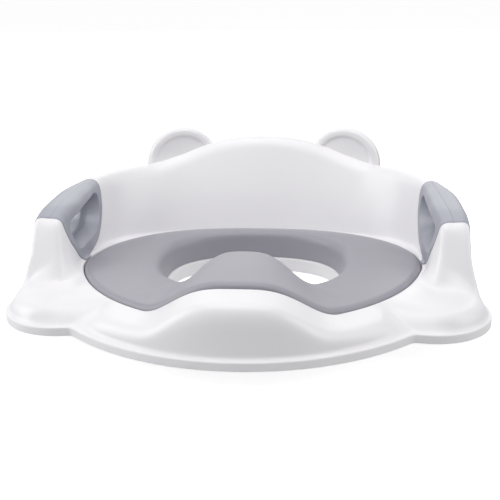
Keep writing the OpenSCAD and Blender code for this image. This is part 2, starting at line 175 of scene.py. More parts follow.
@dataclass(frozen=True)
class SeatForm:
    """Sizes of the moulded seat in millimetres, the same as in the part's source."""

    front_reach: float = 185.0
    rear_reach: float = 173.0
    side_reach: float = 189.0
    front_r: float = 178.0
    corner_r: float = 48.0
    corner_x: float = 145.0
    corner_y: float = 84.0
    rim_h: float = 7.0
    ledge_w: float = 5.0
    ledge_side: float = 3.5
    corner_h: float = 18.0
    wall: float = 2.6
    skirt_drop: float = 16.0
    thigh_h: float = 21.5
    hump_h: float = 48.0
    hump_half: float = 74.0
    guard_half: float = 52.0
    shoulder_h: float = 14.5
    hump_shoulder_h: float = 41.5
    back_h: float = 96.5
    back_side_h: float = 71.0
    handle_h: float = 72.5
    post_h: float = 67.5
    top_w: float = 18.0
    tray_in_h: float = -3.0
    tray_out_h: float = 3.0
    boss_h: float = -4.6
    cushion_r: float = 146.5
    cushion_front: float = 148.0
    cushion_rear: float = 108.0
    hole_half_w: float = 80.0
    hole_front: float = 72.0
    hole_rear: float = 68.0
    cushion_h: float = 21.0
    guard_h: float = 52.0
    cushion_proud: float = 3.0
    cushion_rear_h: float = 9.0
    gap: float = 0.3
    draft: float = 0.1
    ramp_foot: float = 72.0
    face_x: float = 150.5
    ramp_rise: float = 2.0
    ramp_blend: float = 5.0
    ramp_foot_blend: float = 1.5
    waist: float = 54.0
    front_power: float = 4
    rear_power: float = 2.6
    cushion_power: float = 3
    hole_power: float = 2.5
    hump_power: float = 1.55
    rim_blend: float = 3.0
    guard_foam: float = 6.0
    hole_inset: float = 3.0
    box_margin: float = 0.05

    def rim(self, a: np.ndarray, off: float = 0.0) -> np.ndarray:
        """Reach of the rim's edge: the front arc, the squared body and the corner circle, blended.

        Args:
            a: angles from the front in radians.
            off: how far the edge is moved inwards.

        Returns:
            The reach at a.
        """
        side, rear = self.side_reach - off, self.rear_reach - off
        ahead = self.side_reach - self.waist - off
        body = blend_max(
            circle_reach(a, 0, self.front_reach - self.front_r, self.front_r - off),
            np.where(
                np.cos(a) > 0,
                oval_reach(a, side, ahead, rear, self.front_power),
                oval_reach(a, side, ahead, rear, self.rear_power),
            ),
            self.rim_blend,
        )
        corner = circle_reach(a, self.corner_x, self.corner_y, self.corner_r - off)
        return blend_max(body, corner, self.rim_blend)

    def cushion_edge(self, a: np.ndarray) -> np.ndarray:
        """Reach of the cushion's edge at angles a in radians: round in front, squared behind."""
        sizes = (self.cushion_r, self.cushion_front, self.cushion_rear)
        front = oval_reach(a, *sizes, 2)
        rear = oval_reach(a, *sizes, self.cushion_power)
        return np.where(np.cos(a) > 0, front, rear)

    def hole_edge(self, a: np.ndarray) -> np.ndarray:
        """Reach of the seat hole at angles a in radians."""
        return oval_reach(a, self.hole_half_w, self.hole_front, self.hole_rear, self.hole_power)

    def hump(self, a: np.ndarray, r: np.ndarray) -> np.ndarray:
        """The raised middle: half of 1 + cos(pi x^p), x being the share of the half width.

        Args:
            a: angles from the front in radians.
            r: reach of each point. The half width grows from the hole to the front lip.

        Returns:
            1 on the middle line in front, 0 beyond the half width and behind.
        """
        near = np.clip((r - self.hole_front) / (self.cushion_front - self.hole_front), 0, 1)
        half = self.guard_half + (self.hump_half - self.guard_half) * near
        x = np.clip(np.abs(r * np.sin(a)) / half, 0, 1)
        return np.where(np.cos(a) > 0, (1 + np.cos(math.pi * x**self.hump_power)) / 2, 0)

    def crest(self, d: np.ndarray) -> np.ndarray:
        """Height of the post, handle and backrest along their top, by degrees from the front."""
        side, back = self.back_side_h, self.back_h
        post, handle = self.post_h, self.handle_h
        keys = [
            [60, post], [74, post], [84, post + 3.3], [92, handle - 1.2], [104, handle - 0.8],
            [118, side + 0.3], [140, side + 0.2], [150, side + 7], [158, back - 10.3],
            [165, back - 4.2], [172, back - 1.2], [180, back],
        ]
        return ease(keys, d)

    def climb(self, d: np.ndarray, r: np.ndarray, low: np.ndarray) -> np.ndarray:
        """Level of a shoulder that is low in front and climbs the post.

        Args:
            d: angles from the front in degrees.
            r: reach of the shoulder.
            low: level in front of the post.

        Returns:
            The larger of low and a straight ramp that is capped by the crest.
        """
        ramp = self.corner_h + (self.ramp_foot - r * np.cos(np.radians(d))) * self.ramp_rise
        capped = blend_min(self.crest(d), ramp, self.ramp_blend)
        return blend_max(low, capped, self.ramp_foot_blend)

    def low_in(self, a: np.ndarray) -> np.ndarray:
        """Level of the lip round the front of the cushion, at angles a in radians."""
        reach = np.full_like(a, self.cushion_front)
        return self.thigh_h + (self.hump_h - self.thigh_h) * self.hump(a, reach)

    def low_out(self, a: np.ndarray, d: np.ndarray) -> np.ndarray:
        """Level of the outer shoulder in front of the posts.

        Args:
            a: angles from the front in radians.
            d: the same angles in degrees.

        Returns:
            The shoulder's level, raised in the middle.
        """
        low, corner = self.shoulder_h, self.corner_h
        keys = [
            [0, low + 1], [22, low + 4], [39, low + 3.5], [46, low], [53, corner], [180, corner],
        ]
        level = ease(keys, d)
        reach = np.full_like(a, self.front_reach - self.ledge_w)
        return level + (self.hump_shoulder_h - self.shoulder_h) * self.hump(a, reach)

    def shoulder_in(self, d: np.ndarray) -> np.ndarray:
        """Reach of the inner edge of the top, at angles d in degrees."""
        x, rear = self.face_x, self.rear_reach
        keys = [
            [0, x + 16.5], [66, x + 16.5], [76, x + 11], [80, x + 7.5], [90, x + 2.5],
            [100, x + 4.5], [110, x + 12], [118, x + 19], [128, x + 19.5], [140, rear - 6],
            [152, rear - 12], [165, rear - 21], [180, rear - 26],
        ]
        return ease(keys, d)

    def lean(self, d: np.ndarray) -> np.ndarray:
        """How far the outer shoulder is set in from the outer face's foot, at angles d."""
        keys = [
            [0, 1], [12, 1.2], [22, 1.6], [32, 2.5], [38, 5], [45, 14], [49, 13], [54, 5],
            [60, 3], [66, 3.5], [74, 1], [84, 0], [98, 0], [112, 1.5], [125, 0], [180, 0],
        ]
        return ease(keys, d)

    def ledge(self, d: np.ndarray) -> np.ndarray:
        """Width of the flat ledge: wide in front and behind, narrow at the sides."""
        wide, slim = self.ledge_w, self.ledge_side
        return ease([[0, wide], [34, wide], [56, slim], [120, slim], [150, wide], [180, wide]], d)

    def foot(self, d: np.ndarray) -> np.ndarray:
        """Reach of the inner face's foot: upright beside the seat, leaning back behind it."""
        x = self.face_x
        keys = [
            [0, x + 9], [62, x + 9], [68, x + 3], [76, x + 0.5], [83, x], [90, x], [98, x + 1],
            [106, x + 4.5], [114, x + 9], [122, x + 6], [132, x - 4], [145, x - 19],
            [160, x - 32.5], [180, self.cushion_rear + 4],
        ]
        return ease(keys, d)

    def soft_edge(self, d: np.ndarray) -> np.ndarray:
        """Level of the cushion's edge beside and behind the hole."""
        high = self.thigh_h + self.cushion_proud
        rear = self.cushion_rear_h
        keys = [
            [0, 60], [40, 40], [70, high], [85, high - 4], [100, high - 10], [120, rear + 0.7],
            [150, rear], [180, rear],
        ]
        return ease(keys, d)

    def tray(self, a: np.ndarray, r: np.ndarray, level: float) -> np.ndarray:
        """Tray height, raised under the splash guard.

        Args:
            a: angles from the front in radians.
            r: reach of each point.
            level: height away from the guard.

        Returns:
            The heights.
        """
        return level + (self.guard_h - self.cushion_h - self.guard_foam) * self.hump(a, r)

    def shell_corners(self, d: np.ndarray) -> tuple[np.ndarray, np.ndarray]:
        """Control corners of the visible section from the skirt's lower edge to the rim's.

        Args:
            d: angles from the front in degrees, 0 to 180.

        Returns:
            Corners, angles by corners by [reach, height], and the rounding at each corner.
        """
        a = np.radians(d)
        one = np.ones_like(d)
        hole = self.hole_edge(a) - self.hole_inset
        edge = self.cushion_edge(a) + self.gap
        low = self.low_in(a)
        tray_out = self.tray(a, edge, self.tray_out_h)
        base, out = self.rim(a, self.ledge(d)), self.rim(a, self.box_margin)
        low_out = self.low_out(a, d)
        r_out = base - self.lean(d) - self.draft * (self.climb(d, base - 5, low_out) - self.rim_h)
        z_out = self.climb(d, r_out, low_out)
        r_in = np.maximum(self.shoulder_in(d), edge + 1)
        z_in = self.climb(d, r_in, low)
        walled = soft_step(z_in, 20, 40)
        r_lip = np.maximum(self.foot(d), edge + 0.6)
        z_lip = self.soft_edge(d) + ease([[0, 0], [65, -4], [90, -2], [180, -2]], d)
        before = 1 - soft_step(d, 53, 65)
        r_lip = r_lip * (1 - before) + (edge * 0.75 + r_out * 0.25) * before
        r_in = r_in * (1 - before) + (edge * 0.5 + r_out * 0.5) * before
        z_lip = z_lip * (1 - before) + (low * 0.75 + z_out * 0.25) * before
        z_in = z_in * (1 - before) + (low * 0.5 + z_out * 0.5) * before
        z_edge = np.minimum(low, self.soft_edge(d) - 1.5)
        points = (
            (hole, -self.skirt_drop * one), (hole, self.tray(a, hole, self.tray_in_h)),
            (edge, tray_out), (edge, z_edge), (r_lip, z_lip), (r_in, z_in), (r_out, z_out),
            (base, self.rim_h * one), (out, self.rim_h * one), (out, 0 * one),
        )
        corners = np.stack([np.stack(p, -1) for p in points], axis=1)
        half = ease([[0, 9], [66, 6], [78, 7], [98, 9.5], [125, 12], [180, 12]], d)
        fillet = ease([[0, 18], [70, 18], [84, 10], [110, 3], [180, 3]], d)
        outer = 8 + (half - 8) * walled + 6 * self.hump(a, base)
        turns = (
            0 * one, 1.2 * one, 1.5 * one, 1.5 * one, 1 + fillet * (1 - before),
            1 + (half - 1) * walled, outer, 3 * one, 1.5 * one, 0 * one,
        )
        turn = np.stack(turns, axis=1)
        return corners, turn


def rounded(corners: np.ndarray, turn: np.ndarray, points: Sequence[int]) -> np.ndarray:
    """Rounds each corner of many paths at once.

    A corner becomes a curve that touches both sides at the rounding distance, or nearer where two
    corners share a short side: the curve is the quadratic blend of both points and the corner.

    Args:
        corners: paths by corners by 2.
        turn: paths by corners, the rounding distance.
        points: points to spend on each corner, 1 for a sharp one.

    Returns:
        Paths by points by 2.
    """
    out = []
    last = corners.shape[1] - 1
    for i, count in enumerate(points):
        v = corners[:, i]
        if count == 1 or i in (0, last):
            out.append(v[:, None])
            continue
        ends = []
        for k in (i - 1, i + 1):
            way = corners[:, k] - v
            length = np.maximum(np.linalg.norm(way, axis=1), 1e-6)
            share = length * turn[:, i] / np.maximum(turn[:, i] + turn[:, k], 1e-6)
            reach = np.where(turn[:, i] + turn[:, k] > length, share, turn[:, i])
            ends.append(v + way * (reach / length)[:, None])
        t = np.linspace(0, 1, count)[None, :, None]
        p, q = ends[0][:, None], ends[1][:, None]
        out.append(p * (1 - t) ** 2 + v[:, None] * 2 * t * (1 - t) + q * t * t)
    return np.concatenate(out, axis=1)


def moved(corners: np.ndarray, into: float) -> np.ndarray:
    """Moves the corners of many paths into the material, square to both sides.

    With m and n the inward normals of the two sides, a corner moves by (m + n) / (1 + m.n).

    Args:
        corners: paths by corners by 2. The first and last corner stay.
        into: distance, negative outwards.

    Returns:
        The moved corners.
    """
    way = np.diff(corners, axis=1)
    way /= np.maximum(np.linalg.norm(way, axis=2, keepdims=True), 1e-6)
    inward = np.stack([way[..., 1], -way[..., 0]], axis=-1)
    m, n = inward[:, :-1], inward[:, 1:]
    shift = (m + n) / (1 + np.sum(m * n, axis=2, keepdims=True))
    out = corners.copy()
    out[:, 1:-1] += into * shift
    return out


def filled(paths: np.ndarray, most: float) -> np.ndarray:
    """Adds points along the long straight runs of many paths, the same ones in each path.

    Args:
        paths: paths by points by 2.
        most: largest distance to leave between two points.

    Returns:
        Paths by more points by 2.
    """
    longest = np.linalg.norm(np.diff(paths, axis=1), axis=2).max(axis=0)
    out = []
    for i, length in enumerate(longest):
        n = max(int(math.ceil(length / most)), 1)
        t = (np.arange(n) / n)[None, :, None]
        out.append(paths[:, i : i + 1] * (1 - t) + paths[:, i + 1 : i + 2] * t)
    out.append(paths[:, -1:])
    return np.concatenate(out, axis=1)


@dataclass(frozen=True)
class Place:
    """Carries millimetres round the middle of the hole into the shared frame in metres."""

    shift: float
    lift: float

    def put(self, p: np.ndarray) -> np.ndarray:
        """Points in the shared frame, from points in millimetres."""
        return (p + np.array([0, self.shift, self.lift])) * MM


FORM = SeatForm()
PLACE = Place((FORM.front_reach - FORM.rear_reach) / 2, FORM.skirt_drop)


def new_object(name: str, points: np.ndarray, faces: list) -> bpy.types.Object:
    """Makes a mesh object at the origin.

    Args:
        name: object name.
        points: points by 3, in millimetres.
        faces: lists of point numbers.

    Returns:
        The new object, linked to the scene.
    """
    mesh = bpy.data.meshes.new(name)
    mesh.from_pydata(PLACE.put(points).tolist(), [], faces)
    mesh.validate()
    mesh.update()
    obj = bpy.data.objects.new(name, mesh)
    bpy.context.scene.collection.objects.link(obj)
    return obj


def loft(name: str, grid: np.ndarray, caps: bool = False) -> bpy.types.Object:
    """Closed surface over a grid of closed sections.

    Args:
        name: object name.
        grid: sections by points by 3, in millimetres. Each section is a closed loop.
        caps: True closes the first and last section, False joins them to a ring.

    Returns:
        The new object.
    """
    n, m = grid.shape[:2]
    rows = np.arange(n - 1 if caps else n)
    i, j = np.meshgrid(rows, np.arange(m), indexing="ij")
    i2, j2 = (i + 1) % n, (j + 1) % m
    quads = np.stack([i * m + j, i * m + j2, i2 * m + j2, i2 * m + j], -1).reshape(-1, 4)
    faces = quads.tolist()
    if caps:
        faces.append(list(range(m))[::-1])
        faces.append(list(range((n - 1) * m, n * m)))
    obj = new_object(name, grid.reshape(-1, 3), faces)
    outward(obj)
    return obj


def outward(obj: bpy.types.Object) -> None:
    """Turns all faces over if the closed mesh holds a negative volume."""
    mesh = obj.data
    mesh.calc_loop_triangles()
    co = np.empty(len(mesh.vertices) * 3)
    mesh.vertices.foreach_get("co", co)
    tri = np.empty(len(mesh.loop_triangles) * 3, dtype=np.int32)
    mesh.loop_triangles.foreach_get("vertices", tri)
    p = co.reshape(-1, 3)[tri.reshape(-1, 3)]
    if np.sum(np.cross(p[:, 0], p[:, 1]) * p[:, 2]) < 0:
        mesh.flip_normals()


def around(paths: np.ndarray, d: np.ndarray) -> np.ndarray:
    """Carries sections to their angles round the middle: x = r sin a, y = -r cos a.

    Args:
        paths: sections by points by [reach, height].
        d: one angle from the front for each section, in degrees.

    Returns:
        Sections by points by 3.
    """
    a = np.radians(d)[:, None]
    r, z = paths[..., 0], paths[..., 1]
    return np.stack([r * np.sin(a), -r * np.cos(a), z], -1)


def join(target: bpy.types.Object, other: bpy.types.Object, how: str) -> None:
    """Runs one solid operation on an object, applies it and removes the other object.

    Args:
        target: object to change.
        other: object to join, cut or intersect with.
        how: UNION, DIFFERENCE or INTERSECT.
    """
    mod = target.modifiers.new("solid", "BOOLEAN")
    mod.operation = how
    mod.solver = "EXACT"
    mod.object = other
    apply_modifiers(target)
    bpy.data.objects.remove(other)


def apply_modifiers(obj: bpy.types.Object) -> None:
    """Writes the evaluated form of an object into its own mesh."""
    depsgraph = bpy.context.evaluated_depsgraph_get()
    mesh = bpy.data.meshes.new_from_object(obj.evaluated_get(depsgraph))
    obj.modifiers.clear()
    old = obj.data
    obj.data = mesh
    bpy.data.meshes.remove(old)


def shade(obj: bpy.types.Object, crease: float) -> None:
    """Smooth shading with sharp edges kept.

    Args:
        obj: object to shade.
        crease: angle in degrees between two faces from which their edge stays sharp.
    """
    mesh = obj.data
    mesh.shade_smooth()
    mesh.set_sharp_from_angle(angle=math.radians(crease))


@dataclass(frozen=True)
class Finish:
    """How a surface looks."""

    name: str
    colour: tuple[float, float, float]
    roughness: float
    grain: float
    grain_size: float
    sheen: float = 0.0
    specular: float = 0.5


WHITE = Finish("shell_white", (0.85, 0.84, 0.86), roughness=0.30, grain=0.015, grain_size=0.0012)
CUSHION = Finish(
    "cushion_grey", (0.305, 0.298, 0.34), roughness=0.42, grain=0.10, grain_size=0.0006, sheen=0.1
)
GRIP = Finish(
    "grip_grey", (0.29, 0.30, 0.355), roughness=0.37, grain=0.05, grain_size=0.0005, specular=1.0
)
PAD = Finish("pad_grey", (0.06, 0.06, 0.065), roughness=0.7, grain=0.12, grain_size=0.0005)


def grain_group() -> bpy.types.ShaderNodeTree:
    """Shared effect: fine grain of a moulded surface, as one height from 0 to 1.

    Returns:
        The node group, with the input Scale and the output Height.
    """
    group = bpy.data.node_groups.new("moulded_grain", "ShaderNodeTree")
    face = group.interface
    face.new_socket("Scale", in_out="INPUT", socket_type="NodeSocketFloat").default_value = 800.0
    face.new_socket("Height", in_out="OUTPUT", socket_type="NodeSocketFloat")
    nodes, links = group.nodes, group.links
    inp = nodes.new("NodeGroupInput")
    out = nodes.new("NodeGroupOutput")
    where = nodes.new("ShaderNodeTexCoord")
    fine = nodes.new("ShaderNodeTexNoise")
    fine.inputs["Detail"].default_value = 3.0
    links.new(where.outputs["Object"], fine.inputs["Vector"])
    links.new(inp.outputs["Scale"], fine.inputs["Scale"])
    links.new(fine.outputs["Fac"], out.inputs["Height"])
    return group


class Finishes:
    """Makes each material once and puts it on pieces."""

    GRAIN_DEPTH = 0.0002

    def __init__(self) -> None:
        self.group = grain_group()
        self.made: dict[str, bpy.types.Material] = {}

    def material(self, finish: Finish) -> bpy.types.Material:
        """Gives the material for a finish, made on first use.

        Args:
            finish: how the surface looks.

        Returns:
            The material.
        """
        if finish.name in self.made:
            return self.made[finish.name]
        mat = bpy.data.materials.new(finish.name)
        mat.use_nodes = True
        nodes, links = mat.node_tree.nodes, mat.node_tree.links
        shader = nodes["Principled BSDF"]
        shader.inputs["Base Color"].default_value = (*finish.colour, 1)
        shader.inputs["Roughness"].default_value = finish.roughness
        shader.inputs["Sheen Weight"].default_value = finish.sheen
        shader.inputs["Specular IOR Level"].default_value = finish.specular
        grain = nodes.new("ShaderNodeGroup")
        grain.node_tree = self.group
        grain.inputs["Scale"].default_value = 1 / finish.grain_size
        bump = nodes.new("ShaderNodeBump")
        bump.inputs["Strength"].default_value = finish.grain
        bump.inputs["Distance"].default_value = self.GRAIN_DEPTH
        links.new(grain.outputs["Height"], bump.inputs["Height"])
        links.new(bump.outputs["Normal"], shader.inputs["Normal"])
        self.made[finish.name] = mat
        return mat

    def dress(self, obj: bpy.types.Object, finish: Finish, slot: str) -> None:
        """Puts a finish on a piece and rides it on the part's one body.

        Args:
            obj: the piece.
            finish: how it looks.
            slot: not used.
        """
        obj.data.materials.clear()
        obj.data.materials.append(self.material(finish))
        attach(obj, "root")


FINE_FROM, FINE_TO = 38, 84


def turn_stations(step: float, fine: float) -> np.ndarray:
    """Angles once round, closer together over the posts and front corners on both sides.

    Args:
        step: degrees between two sections.
        fine: degrees between two sections from FINE_FROM to FINE_TO.

    Returns:
        Angles from the front in degrees, those of the right side first.
    """
    spans = ((0, FINE_FROM, step), (FINE_FROM, FINE_TO, fine), (FINE_TO, 180, step))
    half = np.concatenate([np.arange(*span) for span in spans])
    return np.concatenate([half, [180.0], -half[:0:-1]])


@dataclass(frozen=True)
class SideHandle:
    """Sizes of a side opening and its grip in millimetres."""

    FINGER_POINTS: ClassVar[int] = 140
    DEEPEST: ClassVar[float] = 1.4
    FLARE_POWER: ClassVar[float] = 1.4

    low: float = 16.0
    rear: float = 73.0
    front: float = 45.0
    proud: float = 0.5
    ring: float = 11.0
    finger_top: float = 64.0
    flare: float = 6.5
    outer_sink: float = 7.0
    core_r: float = 3.5
    bar_rear_h: float = 64.5
    split_turn: float = 3.0
    bar_mid: float = 166.0
    half_depth: float = 15.0
    prism_in: float = 128.0
    prism_out: float = 205.0
    prism_top: float = 140.0
    outline_mid_h: float = 50.0

    def outline(self, grow: float) -> np.ndarray:
        """Side outline of a grip, open at the top.

        Args:
            grow: margin by which it is grown.

        Returns:
            Points by [rearward, height].
        """
        path = np.array(
            [[
                [self.rear, self.prism_top], [self.rear - 2, self.outline_mid_h],
                [self.rear - 21, self.low], [33 - self.front, self.low],
                [3 - self.front, self.outline_mid_h], [-1 - self.front, self.prism_top],
            ]]
        )
        turn = np.array([[0, 20.0, 30, 18, 14, 0]])
        return moved(rounded(path, turn, [1, 16, 24, 20, 16, 1]), -grow)[0]

    def prism(self, side: Side, grow: float, name: str) -> bpy.types.Object:
        """Prism of the grip's outline, lying across one side wall.

        Args:
            side: which wall.
            grow: margin by which the outline is grown.
            name: object name.

        Returns:
            The closed prism.
        """
        line = self.outline(grow)
        ends = (self.prism_in, self.prism_out)
        grid = np.stack([np.column_stack([np.full(len(line), side.value * x), line]) for x in ends])
        return loft(name, grid, caps=True)

    def finger_line(self) -> np.ndarray:
        """Side outline of the finger hole, as evenly spaced points by [rearward, height]."""
        path = np.array(
            [
                [self.rear - self.ring, self.finger_top],
                [self.rear - self.ring - 4, self.low + self.ring + 1],
                [self.ring + 18 - self.front, self.low + self.ring + 1],
                [self.ring + 2 - self.front, self.finger_top - 11],
                [self.ring + 7 - self.front, self.finger_top - 4],
            ]
        )
        loop = np.concatenate([path[-1:], path, path[:1]])[None]
        turn = np.array([[0, 13.0, 26, 20, 12, 5, 0]])
        line = rounded(loop, turn, [1, 14, 22, 18, 10, 6, 1])[0, 1:-1]
        step = np.concatenate([[0], np.cumsum(np.linalg.norm(np.diff(line, axis=0), axis=1))])
        at = np.linspace(0, step[-1], self.FINGER_POINTS)
        return np.column_stack([np.interp(at, step, line[:, k]) for k in (0, 1)])

    def finger_cutter(self, side: Side) -> bpy.types.Object:
        """Finger hole as a tunnel that is narrowest in the middle of the wall.

        The outline shrinks towards its own centre by the flare times one minus a power of the
        depth, so that the wall meets the inner face on an edge. Towards the outer face its top
        sinks by a smooth share, so that the bar hangs lower on the outside.

        Args:
            side: which wall.

        Returns:
            The closed tunnel.
        """
        line = self.finger_line()
        centre = (line.max(axis=0) + line.min(axis=0)) / 2
        size = (line.max(axis=0) - line.min(axis=0)) / 2
        beyond = [self.DEEPEST, 2.2]
        u = np.concatenate([[-v for v in beyond[::-1]], np.linspace(-1, 1, 41), beyond])
        inset = self.flare * (1 - np.minimum(np.abs(u), self.DEEPEST) ** self.FLARE_POWER)
        scale = 1 - inset[:, None] / size[None, :]
        grid = centre + (line[None] - centre) * scale[:, None, :]
        sunk = self.outer_sink * soft_step(u, -0.2, 1.2)[:, None]
        above = np.maximum(grid[..., 1] - centre[1], 0)
        grid[..., 1] -= above * sunk / size[1]
        x = side.value * (self.bar_mid + u * self.half_depth)
        cut = np.concatenate([np.broadcast_to(x[:, None, None], (*grid.shape[:2], 1)), grid], -1)
        return loft("finger_cut", cut, caps=True)


def bar_loft(side: Side, handle: SideHandle, grow: float) -> bpy.types.Object:
    """The shell's own bar inside a grip: round sections at three places, in two straight runs.

    Args:
        side: which handle.
        handle: sizes of the handle.
        grow: margin by which the bar is grown.

    Returns:
        The closed bar.
    """
    y = np.array([handle.rear + 3, 14 - handle.front, -2 - handle.front])
    z = np.array([handle.bar_rear_h, handle.finger_top - 4, handle.finger_top - 17])
    points = 24
    t = np.linspace(0, 2 * math.pi, points, endpoint=False)
    r = handle.core_r + grow
    x = handle.bar_mid - 1 - y * math.tan(math.radians(handle.split_turn))
    grid = np.stack(
        [
            side.value * (x[:, None] + r * np.cos(t)),
            np.broadcast_to(y[:, None], (len(y), points)),
            z[:, None] + r * np.sin(t),
        ],
        -1,
    )
    return loft("bar", grid, caps=True)


def discs(places: list, r: float, low: float, high: float) -> bpy.types.Object:
    """Upright round discs, as one object.

    Args:
        places: the centres as [x, y].
        r: radius.
        low: lower level.
        high: upper level.

    Returns:
        The closed discs.
    """
    n = 64
    t = np.linspace(0, 2 * math.pi, n, endpoint=False)
    ring = np.column_stack([r * np.cos(t), r * np.sin(t)])
    points, faces = [], []
    for k, place in enumerate(places):
        base = k * 2 * n
        for level in (low, high):
            points.append(np.column_stack([ring + place, np.full(n, level)]))
        i = np.arange(n)
        j = (i + 1) % n
        faces += np.column_stack([base + i, base + j, base + n + j, base + n + i]).tolist()
        faces += [list(range(base + n - 1, base - 1, -1)), list(range(base + n, base + 2 * n))]
    obj = new_object("discs", np.concatenate(points), faces)
    outward(obj)
    return obj


class Shell:
    """White moulded shell with its ears, pad seats and bars, and the openings for the grips."""

    PAD_REACH = 118.0
    PAD_ANGLES = (52.0, 124.0)
    BOSS_R = 13.0
    BOSS_TOP = -1.3
    RECESS_R = 11.3
    RECESS_HALF = 1.0
    POINTS_OUT = (1, 4, 4, 5, 8, 12, 14, 7, 7, 1)
    POINTS_IN = (1, 1, 1, 1, 3, 6, 6, 2, 2, 1)
    LONGEST_RUN = 9
    CREASE = 32

    def __init__(self, form: SeatForm, handle: SideHandle) -> None:
        self.form = form
        self.handle = handle

    def solid(self, step: float, fine: float, grow: float = 0.0) -> bpy.types.Object:
        """The shell as a filled body.

        Args:
            step: degrees between two sections.
            fine: degrees between two sections over the posts and front corners.
            grow: margin by which the visible surface is grown.

        Returns:
            The closed body.
        """
        d = turn_stations(step, fine)
        corners, turn = self.form.shell_corners(np.abs(d))
        corners = moved(corners, -grow)
        path = rounded(corners, turn + grow, self.POINTS_OUT)
        foot = corners[:, 0, 0] + self.form.wall
        low = np.full_like(foot, self.form.tray_in_h - self.form.wall - 3)
        ground = low * 0 - self.form.skirt_drop
        close = np.stack([np.stack([foot, low], -1), np.stack([foot, ground], -1)], 1)
        path = np.concatenate([filled(path, self.LONGEST_RUN), close], axis=1)
        return loft("shell", around(path, d))

    def hollow(self, step: float, fine: float) -> bpy.types.Object:
        """The open hollow under the shell, one wall inside the visible surface.

        Args:
            step: degrees between two sections.
            fine: degrees between two sections over the posts and front corners.

        Returns:
            The closed body to cut away.
        """
        d = turn_stations(step, fine)
        corners, turn = self.form.shell_corners(np.abs(d))
        wall = self.form.wall
        inner = moved(corners, wall)
        inner[:, 0, 0] += wall
        inner[:, 0, 1] = self.form.tray_in_h - wall - 4
        inner[:, -1, 0] -= wall
        inner[:, -1, 1] = -1
        path = rounded(inner, np.maximum(turn - wall, 0.8), self.POINTS_IN)
        return loft("hollow", around(path, d))

    def pad_places(self) -> list:
        """Centres of the pads as [x, y]."""
        return [
            [
                s.value * self.PAD_REACH * math.sin(math.radians(a)),
                -self.PAD_REACH * math.cos(math.radians(a)),
            ]
            for a in self.PAD_ANGLES
            for s in Side
        ]

    def build(self) -> bpy.types.Object:
        """Joins the filled shell, the ears and the bars, and cuts the hollow and the openings.

        Returns:
            The finished shell.
        """
        shell = self.solid(1.2, 0.6)
        ears = [Ear(self.form).build(side) for side in Side]
        for ear in ears:
            join(shell, ear, "UNION")
        hollow = self.hollow(3.0, 1.5)
        boot = self.form.gap + self.form.wall
        for side in Side:
            join(hollow, self.handle.prism(side, boot, "boot"), "DIFFERENCE")
        join(shell, hollow, "DIFFERENCE")
        places = self.pad_places()
        low, half = self.form.boss_h, self.RECESS_HALF
        join(shell, discs(places, self.BOSS_R, low, self.BOSS_TOP), "UNION")
        join(shell, discs(places, self.RECESS_R, low - half, low + half), "DIFFERENCE")
        for side in Side:
            join(shell, self.handle.prism(side, self.form.gap, "opening"), "DIFFERENCE")
            join(shell, bar_loft(side, self.handle, 0.0), "UNION")
        shell.name = "shell"
        shade(shell, self.CREASE)
        return shell

    def dress(self, obj: bpy.types.Object, finishes: Finishes) -> None:
        """Gives the shell its finish."""
        finishes.dress(obj, WHITE, "shell_white")
        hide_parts("seat_shell")


@dataclass(frozen=True)
class Ear:
    """Round ear with a raised border round a shallow dish."""

    form: SeatForm
    r: float = 36.5
    x: float = 82.0
    h: float = 68.5
    t: float = 12.0
    border: float = 7.0
    dish: float = 1.6
    lean: float = 6.0
    turn: float = 13.0
    axis_gap: float = 0.4

    def build(self, side: Side) -> bpy.types.Object:
        """Spins the ear's section and stands it behind the backrest's top.

        The section runs from the middle of the dish over the border and round the edge to the
        back, and is spun round the ear's own axis.

        Args:
            side: which ear.

        Returns:
            The closed ear.
        """
        r, t = self.r, self.t / 2
        floor = t - self.dish
        corners = np.array(
            [[
                [0, floor], [r - self.border - 2.5, floor], [r - self.border - 0.5, t],
                [r - 0.2, t], [r, -t], [0, -t],
            ]]
        )
        turn = np.array([[0, 2.5, 1.6, 4.5, 3.5, 0]])
        path = rounded(corners, turn, [1, 6, 6, 12, 8, 1])[0]
        path[0, 0] = path[-1, 0] = self.axis_gap
        around_axis = np.radians(np.arange(0, 360, 3.0))[:, None]
        x = path[:, 0] * np.cos(around_axis)
        y = path[:, 0] * np.sin(around_axis)
        z = np.broadcast_to(path[:, 1], x.shape)
        grid = np.stack([x, y, z], -1)
        a = 180 - math.degrees(math.atan(self.x / (self.form.rear_reach - 24)))
        top = self.form.shoulder_in(np.array([a]))[0] + self.form.top_w / 2 + 1
        reach = top * -math.cos(math.radians(a))
        spin = Matrix.Rotation(math.radians(-side.value * self.turn), 3, "Z") @ Matrix.Rotation(
            math.radians(90 - self.lean), 3, "X"
        )
        grid = grid @ np.array(spin).T + np.array([side.value * self.x, reach, self.h])
        return loft("ear", grid)


